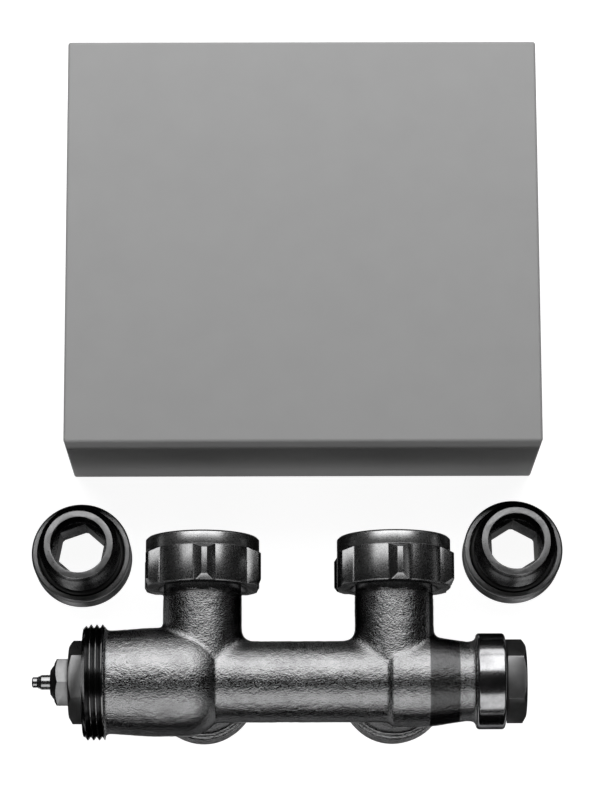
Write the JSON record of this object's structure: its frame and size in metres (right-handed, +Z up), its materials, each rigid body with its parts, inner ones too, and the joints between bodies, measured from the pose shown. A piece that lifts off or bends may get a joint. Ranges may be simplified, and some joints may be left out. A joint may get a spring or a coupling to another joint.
{
  "type": "radiator valve block",
  "caption": "H-shaped angled valve block for a radiator with union nuts, thermostatic insert, shut-off valve, loose nipples and a plain box-shaped cover.",
  "frame": {"origin": "middle of the laid-out set's footprint, on the floor that it lies on", "axes": "+X along the block's pipe, towards the shut-off valve; +Y towards the radiator connections and the cover; +Z up, away from the wall"},
  "size_m": [0.1418, 0.1835, 0.0454],
  "materials": {
    "cast_skin": "rough cast skin, dark nickel plated",
    "plated_brass": "turned and milled, dark nickel plated",
    "turned_brass": "turned, bright nickel plated",
    "steel": "stainless, turned",
    "rubber": "black seal rubber",
    "cover_plastic": "fine matte moulded"
  },
  "bodies": {
    "block": {"valve_body": "cast_skin", "insert_housing": "turned_brass", "insert_oring": "rubber", "guide_bush": "turned_brass", "gland_nut": "plated_brass", "gland_oring": "rubber", "return_spring": "steel", "shutoff_bush": "turned_brass", "bush_oring": "rubber", "spindle_oring": "rubber", "snap_ring_left": "steel", "snap_ring_right": "steel", "stub_seal_left": "rubber", "stub_seal_right": "rubber"},
    "actuator": {"actuator_pin": "steel", "valve_spindle": "steel", "disc_holder": "turned_brass", "disc_seal": "rubber"},
    "nut_left": {"union_nut_left": "plated_brass"},
    "nut_right": {"union_nut_right": "plated_brass"},
    "shutoff_washer": {"shutoff_seal": "rubber"},
    "shutoff_screw": {"shutoff_spindle": "turned_brass"},
    "cap_washer": {"cap_seal": "rubber"},
    "cap": {"service_cap": "plated_brass"},
    "loose_nipple_left": {"nipple_left": "plated_brass", "nipple_oring_left": "rubber"},
    "loose_nipple_right": {"nipple_right": "plated_brass", "nipple_oring_right": "rubber"},
    "cover": {"cover_shell": "cover_plastic"}
  },
  "joints": [
    {"name": "pin_press", "type": "slide", "parent": "block", "child": "actuator", "axis": [1, 0, 0], "range_m": [0, 0.0025], "stiffness_N_per_m": 6000, "springref_m": -0.002, "deforming": ["return_spring"]},
    {"name": "nut_left_turn", "type": "hinge", "parent": "block", "child": "nut_left", "pos_m": [-0.02485, -0.04575, 0.0275], "axis": [0, 1, 0], "continuous": true},
    {"name": "nut_right_turn", "type": "hinge", "parent": "block", "child": "nut_right", "pos_m": [0.02515, -0.04575, 0.0275], "axis": [0, 1, 0], "continuous": true},
    {"name": "shutoff_feed", "type": "slide", "parent": "block", "child": "shutoff_washer", "axis": [-1, 0, 0], "range_m": [0, 0.002]},
    {"name": "shutoff_turn", "type": "hinge", "parent": "shutoff_washer", "child": "shutoff_screw", "pos_m": [0.04515, -0.07675, 0.0275], "axis": [-1, 0, 0], "range_deg": [0, 720]},
    {"name": "cap_feed", "type": "slide", "parent": "block", "child": "cap_washer", "axis": [1, 0, 0], "range_m": [0, 0.007]},
    {"name": "cap_turn", "type": "hinge", "parent": "cap_washer", "child": "cap", "pos_m": [0.05615, -0.07675, 0.0275], "axis": [1, 0, 0], "range_deg": [0, 2520]},
    {"name": "nipple_left_lift", "type": "slide", "parent": "block", "child": "loose_nipple_left", "axis": [0, 0, 1], "range_m": [0, 0.03]},
    {"name": "nipple_right_lift", "type": "slide", "parent": "block", "child": "loose_nipple_right", "axis": [0, 0, 1], "range_m": [0, 0.03]},
    {"name": "cover_lift", "type": "slide", "parent": "block", "child": "cover", "axis": [0, 0, 1], "range_m": [0, 0.06]}
  ],
  "couplings": [
    {"joint": "shutoff_turn", "follows": "shutoff_feed", "rad_per_m": 6283},
    {"joint": "cap_turn", "follows": "cap_feed", "rad_per_m": 6283}
  ]
}
